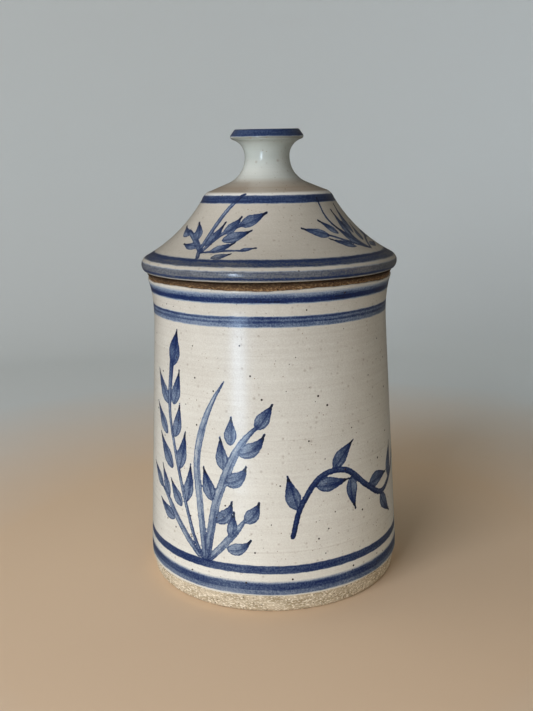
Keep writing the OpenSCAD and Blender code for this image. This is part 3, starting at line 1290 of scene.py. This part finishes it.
@dataclass(frozen=True)
class Jar:
    """The thrown jar: clay, outer glaze and liner glaze."""

    height: float = 188.6
    foot_radius: float = 77.5
    belly_radius: float = 78.7
    belly_height: float = 16.0
    mouth_radius: float = 65.8
    rim_width: float = 8.4
    flare_width: float = 5.4
    flare_height: float = 40.0
    mouth_depth: float = 14.0
    wall: float = 5.8
    floor: float = 6.5
    corner: float = 14.0
    foot_ring: float = 11.0
    recess: float = 2.5
    edge: float = 1.2
    glaze: float = 0.8
    bead: float = 0.15  # how much thicker the glaze stands along its edges
    sunk: float = 0.05  # how far a coat's back lies in the clay
    liner: float = 0.6
    foot_bare: float = 9.5
    rim_bare: float = 2.4
    toasted_from: float = 180.0
    bore_blend: float = 8.0
    flat_radius: float = 76.0  # the flat pattern's mean radius
    hands: Throwing = Throwing()

    @property
    def rim_radius(self) -> float:
        """The rim's outer radius."""
        return self.mouth_radius + self.rim_width

    def wall_radius(self, height: np.ndarray | float) -> np.ndarray:
        """The clay's outer radius: bellied foot, straight taper, then the flare.

        Args:
            height: one height or many.

        Returns:
            The radius at each.
        """
        taper = self.rim_radius - self.flare_width
        height = np.asarray(height, float)
        low = self.belly_radius - (self.belly_radius - self.foot_radius) * (
            1 - np.minimum(height, self.belly_height) / self.belly_height
        ) ** 2
        share = (height - self.belly_height) / (self.height - self.belly_height)
        flare = np.maximum(0, height - self.height + self.flare_height) / self.flare_height
        high = self.belly_radius + (taper - self.belly_radius) * share
        high = high + (self.rim_radius - taper) * flare**3
        return np.where(height < self.belly_height, low, high)

    def clay_line(self) -> np.ndarray:
        """The clay's outline from the middle underneath to the middle of the floor.

        Returns:
            Rows of radius and height.
        """
        ring = self.foot_radius - self.foot_ring
        foot = float(self.wall_radius(self.edge)) - self.edge
        under = [[0, self.recess], [ring - self.recess, self.recess], [ring, 0], [foot, 0]]
        heights = np.concatenate(
            [np.linspace(self.edge, 14, 14), np.linspace(16, 180, 50), np.linspace(181, 187.4, 9)]
        )
        top = self.height - self.edge
        line = np.vstack(
            [
                eased(np.array(under), reach=1.2),
                np.column_stack([self.wall_radius(heights), heights]),
                arc((self.rim_radius - self.edge, top), self.edge, 20, 90, steps=5),
                arc((self.mouth_radius + self.edge, top), self.edge, 90, 180, steps=5),
                self.inner_line(),
            ]
        )
        return divided(line, step=4.0)

    def inner_line(self) -> np.ndarray:
        """The clay's inside from below the rim down to the middle of the floor.

        Returns:
            Rows of radius and height.
        """
        bore = self.height - self.mouth_depth
        blend = bore - self.bore_blend
        low = self.recess + self.floor + self.corner
        blended, bottom = (float(self.wall_radius(z)) - self.wall for z in (blend, low))
        top = [[self.mouth_radius, self.height - self.rim_bare], [self.mouth_radius, bore]]
        turn = arc((bottom - self.corner, low), self.corner, 0, -90, steps=16)
        middle = [[0, self.recess + self.floor]]
        return eased(np.vstack([top, [[blended, blend]], turn, middle]), reach=2.5)

    def coat_edge(self, angle: np.ndarray) -> np.ndarray:
        """The height of the glaze's lower edge: lowest behind, and wavy where it ran.

        Args:
            angle: angles round the jar in radians.

        Returns:
            The height at each.
        """
        slow = 1.10 * np.cos(angle - 0.60) + 0.30 * np.cos(3 * angle + 1.1)
        quick = 0.16 * np.cos(7 * angle + 0.4) + 0.12 * np.cos(13 * angle + 2.0)
        return self.foot_bare + slow + quick + 0.08 * np.cos(29 * angle)

    def rim_edge(self, angle: np.ndarray) -> np.ndarray:
        """The height of the glaze's upper edge: lowest in front, where it was wiped away.

        Args:
            angle: angles round the jar in radians.

        Returns:
            The height at each.
        """
        slow = 0.65 + 0.65 * np.cos(angle - 0.1) + 0.38 * np.cos(5 * angle + 0.5)
        quick = 0.12 * np.cos(11 * angle) + 0.10 * np.cos(23 * angle + 1)
        dip = slow + (quick + 0.07 * np.cos(61 * angle))
        return self.height - self.rim_bare - np.maximum(dip, 0)

    def clay(self) -> Piece:
        """Makes the clay piece; its toasted rim is the second finish.

        Returns:
            The piece.
        """
        surface = Surface.turned(self.clay_line(), columns=360)
        surface.throw(self.hands)
        surface.height = np.maximum(surface.height, 0)
        piece = surface.make("jar_clay")
        bore = (self.mouth_radius - 1) * MM
        toasted = [
            face.center[2] > self.toasted_from * MM and math.hypot(*face.center[:2]) > bore
            for face in piece.data.polygons
        ]
        piece.data.polygons.foreach_set("material_index", np.array(toasted, np.int32))
        return piece

    def outer_coat(self, sprays: tuple[Spray, ...]) -> Piece:
        """Makes the outer glaze, thick and rounded at both ends, with its painting.

        Args:
            sprays: the brushwork on the wall.

        Returns:
            The piece.
        """
        span = 177.0  # millimetres: about what the coat covers, and a row for each
        quarter = np.linspace(0, math.pi / 2, 5)
        rounded = 0.9 * (1 - np.cos(quarter))
        share = np.concatenate([rounded, np.linspace(2.0, span - 2.0, 171), span - rounded[::-1]])
        thick = self.glaze + self.bead
        start = self.sunk + thick * np.sin(quarter)
        end = np.concatenate([start, self.glaze + self.bead * np.linspace(0.9, 0.1, 4)])
        middle = np.full(len(share) - 2 * len(end), self.glaze)
        cover = np.concatenate([end, middle, end[::-1]])
        columns = 480
        angle = np.linspace(-math.pi, math.pi, columns, endpoint=False)
        low, high = self.coat_edge(angle), self.rim_edge(angle)
        front, back = (
            low + (high - low) * (part / span)[:, None]
            for part in (share, np.linspace(span - 0.4, 0.4, 30))
        )
        radius = np.vstack(
            [self.wall_radius(front) + cover[:, None], self.wall_radius(back) - self.sunk]
        )
        surface = Surface(radius, np.vstack([front, back]), angle * np.ones_like(radius))
        marks = surface.marks()
        canvas = Canvas.blank(surface.angle * self.flat_radius, surface.height)
        for spray in sprays:
            across = surface.turn_from(spray.root_angle) * self.flat_radius
            spray.paint(canvas.moved(across, surface.height - spray.root_height))
        surface.throw(self.hands)
        return surface.make("jar_white_glaze", ring=True, marks=marks | canvas.marks())

    def liner_coat(self) -> Piece:
        """Makes the glaze inside.

        Returns:
            The piece.
        """
        surface = lining(divided(self.inner_line(), step=3.0), self.liner, columns=300)
        surface.throw(self.hands)
        return surface.make("jar_liner")

    def dress(self, stoneware: Finish, toasted: Finish, liner: Finish) -> None:
        """Makes the jar's pieces and gives them their finishes.

        Args:
            stoneware: the bare clay.
            toasted: the clay of the rim.
            liner: the glaze inside.
        """
        place_piece(self.clay(), Body.JAR, "jar_body", [stoneware, toasted])
        wall, coat = WALL_GLAZE.material(), self.outer_coat(WALL_SPRAYS)
        place_piece(coat, Body.JAR, "jar_outer_glaze", [wall])
        place_piece(self.liner_coat(), Body.JAR, "jar_liner_glaze", [liner])


@dataclass(frozen=True)
class Lid:
    """The thrown lid with its knob: clay, outer glaze and liner glaze."""

    jar: Jar = Jar()
    overhang: float = 2.6
    roll_radius: float = 4.2
    roll_height: float = 4.7
    roll_start: float = -65.0  # degrees
    roll_end: float = 59.0  # degrees
    shoulder: Point = (39.2, 41.6)
    flank_dip: float = 3.3
    shoulder_round: float = 5.2
    shoulder_dip: float = 0.9
    crown_slope: float = 0.36
    wall: float = 6.0
    crown: float = 8.0
    flange_height: float = 10.0
    flange: float = 5.0
    clearance: float = 1.2
    knob_base: float = 26.0
    neck_radius: float = 12.7
    neck_height: float = 0.6
    neck_lip: float = 0.6
    neck_sweep: float = 17.0
    head_sweep: float = 10.6
    head_radius: float = 21.3
    head_top: float = 18.7
    head_lip: float = 0.8
    bevel: float = 3.6
    dish: float = 1.2
    head_start: float = 254.0  # the head leans from here up
    head_tilt: float = 0.05
    painted_below: float = 240.0  # no leaf is painted higher
    hands: Throwing = LID_HANDS

    @property
    def seat(self) -> float:
        """The height of the seat, on the jar's rim."""
        return self.jar.height

    @property
    def flange_radius(self) -> float:
        """The flange's outer radius."""
        return self.jar.mouth_radius - self.jar.liner - self.clearance

    @property
    def crown_edge(self) -> Point:
        """Where the shoulder's rounding meets the crown."""
        run = self.shoulder_round
        return (self.shoulder[0] - run, self.seat + self.shoulder[1] + 0.9 * run)

    @property
    def knob_foot(self) -> Point:
        """The edge where the knob is luted to the crown, as radius and height."""
        radius, height = self.crown_edge
        return (self.knob_base, height + self.crown_slope * (radius - self.knob_base))

    def roll_line(self, steps: int) -> np.ndarray:
        """The rolled edge from underneath to the flank.

        Args:
            steps: the number of stretches.

        Returns:
            Rows of radius and height.
        """
        out = self.jar.rim_radius + self.overhang - self.roll_radius
        centre = (out, self.seat + self.roll_height)
        return arc(centre, self.roll_radius, self.roll_start, self.roll_end, steps)

    def flank_line(self, steps: int) -> np.ndarray:
        """The hollow flank from the roll up to the shoulder."""
        top = (self.shoulder[0], self.seat + self.shoulder[1])
        return bowed(tuple(self.roll_line(steps=4)[-1]), top, self.flank_dip, steps)

    def outer_line(self) -> np.ndarray:
        """The clay's outside from under the roll over the crown to the knob's foot.

        Returns:
            Rows of radius and height.
        """
        flank = self.flank_line(steps=60)
        shoulder = bowed(tuple(flank[-1]), self.crown_edge, -self.shoulder_dip, steps=8)
        return np.vstack([self.roll_line(steps=16), flank[2:], shoulder[1:], [self.knob_foot]])

    def knob_line(self) -> np.ndarray:
        """The knob's outside from its luted edge to the middle of its top.

        Returns:
            Rows of radius and height.
        """
        neck_x = self.neck_radius + self.neck_sweep
        neck_a = math.acos((self.knob_base - neck_x) / self.neck_sweep)
        neck_z = self.knob_foot[1] + self.neck_lip + self.neck_sweep * math.sin(neck_a)
        head_x = self.neck_radius + self.head_sweep
        head_a = math.acos((self.head_radius - self.head_lip - head_x) / self.head_sweep)
        head_base = neck_z + self.neck_height
        head_z = head_base + self.head_sweep * math.sin(head_a) + self.head_lip
        top = head_z + self.bevel
        share = np.linspace(0, 1, 12)[1:]
        hollow = self.dish * np.sin(share * math.pi / 2)
        return np.vstack(
            [
                arc((neck_x, neck_z), self.neck_sweep, 360 - math.degrees(neck_a), 180, steps=28),
                arc((head_x, head_base), self.head_sweep, 180, math.degrees(head_a), steps=20),
                [[self.head_radius, head_z], [self.head_top, top]],
                np.column_stack([self.head_top * (1 - share), top - hollow]),
            ]
        )

    def hollow_line(self) -> np.ndarray:
        """The inside from the foot of the flange to the middle of the ceiling.

        Returns:
            Rows of radius and height.
        """
        inner = self.flange_radius - self.flange
        ceiling = self.knob_foot[1] - self.crown
        flank = moved_right(self.flank_line(steps=40), -self.wall)
        flank = flank[(flank[:, 0] < inner + 2) & (flank[:, 1] < ceiling - 2)]
        radius, height = flank[-1]
        crown = (radius - 2 * (ceiling - height), ceiling)
        turn = bowed((radius, height), crown, sag=-1.0, steps=6)
        foot = [[inner, self.seat - self.flange_height + self.jar.edge],
                [inner, self.seat + self.roll_height]]
        return np.vstack([foot, flank, turn[1:], [[0, ceiling]]])

    def clay(self) -> Piece:
        """Makes the lid's clay.

        Returns:
            The piece.
        """
        inner, outer = self.flange_radius - self.flange, self.flange_radius
        low, edge = self.seat - self.flange_height, self.jar.edge
        foot = [[inner + edge, low], [outer - edge, low], [outer, low + edge],
                [outer, self.seat], [self.jar.rim_radius - edge, self.seat]]
        line = np.vstack(
            [
                self.hollow_line()[::-1],
                eased(np.array(foot), reach=0.5),
                self.outer_line()[::2],
                [self.knob_foot, (0, self.knob_foot[1])],
            ]
        )
        surface = Surface.turned(divided(line, step=3.0), columns=300)
        surface.throw(self.hands)
        return surface.make("lid_clay")

    def outer_coat(self, sprays: tuple[Spray, ...]) -> Piece:
        """Makes the glaze over lid and knob, with its painting.

        Args:
            sprays: the brushwork on the flank.

        Returns:
            The piece.
        """
        clay = np.vstack([self.outer_line()[:-1], self.knob_line()[3:]])
        clay = divided(eased(clay, reach=0.55), step=0.9)
        cover = np.full(len(clay), self.jar.glaze)
        cover[:4] = self.jar.glaze * np.array([0.1, 0.6, 0.85, 0.97])
        coat = moved_right(clay, cover)
        under = moved_right(clay, -self.jar.sunk)[::-4]
        line = np.vstack([coat[::-1], clay[:1], under[::-1]])
        line[[0, -1], 0] = 0
        surface = Surface.turned(line, columns=400)
        marks = surface.marks()
        bottom, top = self.flank_line(steps=4)[[0, -1]]
        slope = (bottom[0] - top[0]) / np.linalg.norm(bottom - top)
        slant = surface.radius / slope
        outside = np.arange(len(line))[:, None] < len(coat)
        hidden = np.where(outside & (surface.height < self.painted_below), 0, 10 * FAR)
        canvas = Canvas.blank(slant, surface.height)
        for spray in sprays:
            turn = surface.turn_from(spray.root_angle) * slope
            root = np.interp(spray.root_height, [bottom[1], top[1]], [bottom[0], top[0]]) / slope
            spray.paint(canvas.moved(slant * np.sin(turn) + hidden, root - slant * np.cos(turn)))
        surface.tilt(self.head_start, self.head_tilt)
        surface.throw(self.hands)
        return surface.make("lid_white_glaze", marks=marks | canvas.marks())

    def knob(self) -> Piece:
        """Makes the knob's clay, under the glaze.

        Returns:
            The piece.
        """
        foot = self.knob_foot
        line = np.vstack([[[0, foot[1]], foot], self.knob_line()])
        surface = Surface.turned(divided(line, step=2.0), columns=120)
        surface.tilt(self.head_start, self.head_tilt)
        surface.throw(self.hands)
        return surface.make("knob_clay")

    def liner_coat(self) -> Piece:
        """Makes the glaze inside the lid.

        Returns:
            The piece.
        """
        surface = lining(divided(self.hollow_line(), step=2.5), -self.jar.liner, columns=240)
        surface.throw(self.hands)
        return surface.make("lid_liner")

    def dress(self, stoneware: Finish, toasted: Finish, liner: Finish) -> None:
        """Makes the lid's pieces and gives them their finishes.

        Args:
            stoneware: the clay of the knob.
            toasted: the lid's bare clay.
            liner: the glaze in the hollow.
        """
        place_piece(self.clay(), Body.LID, "lid_body", [toasted])
        place_piece(self.knob(), Body.LID, "lid_knob", [stoneware])
        cover, coat = LID_GLAZE.material(), self.outer_coat(LID_SPRAYS)
        place_piece(coat, Body.LID, "lid_outer_glaze", [cover])
        place_piece(self.liner_coat(), Body.LID, "lid_liner_glaze", [liner])


# ---------------------------------------------------------------- studio


@dataclass(frozen=True)
class Viewpoint:
    """A hand-held camera in front of the jar, looking a little down on it."""

    place: tuple[float, float, float] = (0.0, -492.14, 245.21)
    pitch: float = 12.824
    yaw: float = -0.297
    roll: float = -1.077
    focal_px: float = 800.0
    frame_px: tuple[int, int] = (533, 711)

    def make(self) -> None:
        """Makes the camera and looks through it."""
        pitch, yaw, roll = (math.radians(a) for a in (self.pitch, self.yaw, self.roll))
        ahead = Vector(
            (math.sin(yaw) * math.cos(pitch), math.cos(yaw) * math.cos(pitch), -math.sin(pitch))
        )
        level = Vector((math.cos(yaw), -math.sin(yaw), 0))
        upright = level.cross(ahead)
        right = level * math.cos(roll) + upright * math.sin(roll)
        up = upright * math.cos(roll) - level * math.sin(roll)
        lens = bpy.data.cameras.new("camera")
        lens.sensor_width = 36.0
        lens.lens = lens.sensor_width * self.focal_px / max(self.frame_px)
        made = linked("camera", lens)
        turn = Matrix((right, up, -ahead)).transposed().to_4x4()
        made.matrix_world = Matrix.Translation(Vector(self.place) * MM) @ turn
        bpy.context.scene.camera = made


@dataclass(frozen=True)
class Softbox:
    """A soft rectangular light aimed at the jar."""

    name: str
    azimuth: float  # degrees from the camera's side, positive to its right
    elevation: float
    distance: float  # metres
    size: tuple[float, float]  # metres
    power: float  # watts
    colour: str
    mirrored: bool = True  # False: it lights the jar, and the glaze doesn't reflect it
    lit: bool = True  # False: it is only a reflection in the glaze
    aim: tuple[float, float, float] = (0.0, 0.0, 0.14)  # metres: what it is turned around

    def make(self) -> None:
        """Hangs the light."""
        lamp = bpy.data.lights.new(self.name, "AREA")
        lamp.shape = "RECTANGLE"
        lamp.size, lamp.size_y = self.size
        lamp.energy = self.power
        lamp.color = linear(self.colour)[:3]
        made = linked(self.name, lamp)
        a, e = math.radians(self.azimuth), math.radians(self.elevation)
        towards = Vector((math.sin(a) * math.cos(e), -math.cos(a) * math.cos(e), math.sin(e)))
        made.location = Vector(self.aim) + towards * self.distance
        made.rotation_mode = "QUATERNION"
        made.rotation_quaternion = towards.to_track_quat("Z", "Y")
        made.visible_camera = False
        made.visible_glossy = self.mirrored
        made.visible_diffuse = self.lit


@dataclass(frozen=True)
class Studio:
    """A pale floor that sweeps up into a wall, soft lights and an even sky."""

    radius: float = 1600.0
    forward: float = 750.0  # how far the sweep's middle lies in front of the jar
    sweep: float = 260.0
    wall_height: float = 1100.0
    sky: str = "#d2ccc0"
    sky_strength: float = 0.09
    boxes: tuple[Softbox, ...] = (
        Softbox("window", -37, 16, 1.3, (0.8, 0.5), 13.3, "#f3f3f8", mirrored=False),
        Softbox("window_pane", -30.0, 9, 1.3, (0.16, 0.5), 4.5, "#d8eaff", lit=False),
        Softbox("window_foot", -28.0, -8, 1.3, (0.26, 0.36), 2.3, "#c4e0ff", lit=False),
        Softbox("bounce", 80, 8, 1.2, (0.8, 0.6), 0.46, "#ffc890"),
        Softbox("far_wall", 150, 4, 1.25, (0.8, 0.6), 1.9, "#f2e6d4", mirrored=False),
        Softbox("far_wall_glow", 150, 4, 1.25, (0.8, 0.6), 0.4, "#e8f0ff", lit=False),
        Softbox("table", 0, 6, 0.33, (0.6, 0.08), 0.13, "#fff4ea", mirrored=False,
                aim=(0.0, 0.0, 0.03)),
        Softbox("wall_wash", -20, 10, 0.6, (0.5, 0.5), 0.45, "#e4f0ff", mirrored=False,
                aim=(0.65, 0.75, 0.35)),
        Softbox("above", -78, 60, 1.35, (0.9, 0.9), 2.9, "#ffecd8", mirrored=False),
    )

    def make(self) -> None:
        """Makes the floor, the sky and the lights."""
        floor = self._floor()
        floor.data.materials.append(PaintedBoard().material())
        floor.visible_glossy = False  # the glaze mirrors the lights, down to below the floor
        floor.visible_shadow = False
        world = bpy.data.worlds.new("studio")
        world.use_nodes = True
        sky = world.node_tree.nodes["Background"]
        sky.inputs["Color"].default_value = linear(self.sky)
        sky.inputs["Strength"].default_value = self.sky_strength
        bpy.context.scene.world = world
        for box in self.boxes:
            box.make()

    def _floor(self) -> Piece:
        """Makes the floor and wall: a wide dish, open at the top.

        Returns:
            The mesh object.
        """
        turn = arc((self.radius - self.sweep, self.sweep), self.sweep, -90, 0, steps=16)
        line = np.vstack([[[0, 0]], turn, [[self.radius, self.wall_height]]])
        rows, columns = len(line), 96
        points = Surface.turned(line, columns).points() - [0, self.forward, 0]
        ring = np.arange(columns)
        after = np.roll(ring, -1)
        start = 1 + columns * np.arange(rows - 1)[:, None]
        low, high = start[:-1], start[1:]
        middle = np.stack([0 * ring, 1 + ring, 1 + after], axis=1)
        rest = np.stack([low + ring, high + ring, high + after, low + after], axis=2)
        faces = middle.tolist() + rest.reshape(-1, 4).tolist()
        return mesh_object("floor", points[columns - 1 :], faces)


def main() -> None:
    """Dresses the jar and its lid, and sets the studio round them."""
    logging.basicConfig(level=logging.INFO, format="%(name)s: %(message)s")
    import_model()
    Viewpoint().make()
    Studio().make()
    bpy.context.scene.view_settings.view_transform = "Standard"

    jar = Jar()
    stoneware = BareStoneware("turned_buff_stoneware", scorch_and_shade_at=11.5).material()
    # The rim's clay darkens under the lid's seat: painted shade of the lid.
    toasted = BareStoneware(
        "toasted_stoneware", clay="#7a5d41", shadow="#4c3723", grog="#a3855f", iron="#1c130d",
        scorch_and_shade_at=jar.height, scorch_and_shade_reach=4.0, scorch_and_shade_beyond=jar.rim_radius - 1.4,
    ).material()
    liner = CobaltGlaze("white_liner_glaze").material()
    jar.dress(stoneware, toasted, liner)
    Lid(jar).dress(stoneware, toasted, liner)


if __name__ == "__main__":
    main()
